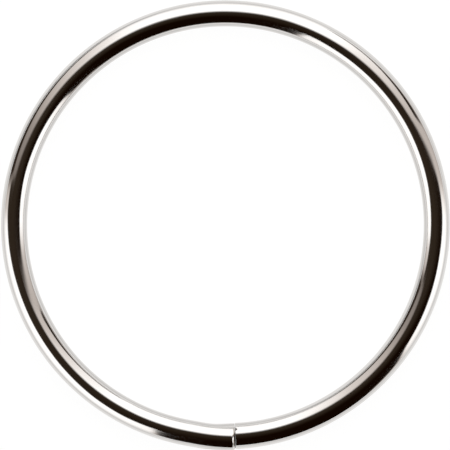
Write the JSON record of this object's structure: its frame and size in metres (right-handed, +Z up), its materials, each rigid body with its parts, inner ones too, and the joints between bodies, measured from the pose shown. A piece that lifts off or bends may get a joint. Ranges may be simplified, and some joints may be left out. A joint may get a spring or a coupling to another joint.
{
  "type": "split ring",
  "caption": "Single-turn ring of round bright-plated steel wire with a narrow butt split, for joining straps, cords, clips and hooks.",
  "frame": {"origin": "middle of the ring's eye, on the surface that the ring lies on", "axes": "+Z up, square to the plane of the ring; the split faces -Y; +X to the right when seen from above with the split towards the viewer"},
  "size_m": [0.051, 0.0512, 0.003],
  "materials": {
    "plated_wire": "bright nickel plate over drawn steel wire, polished"
  },
  "bodies": {
    "root": {"split_ring": "plated_wire"}
  },
  "joints": []
}
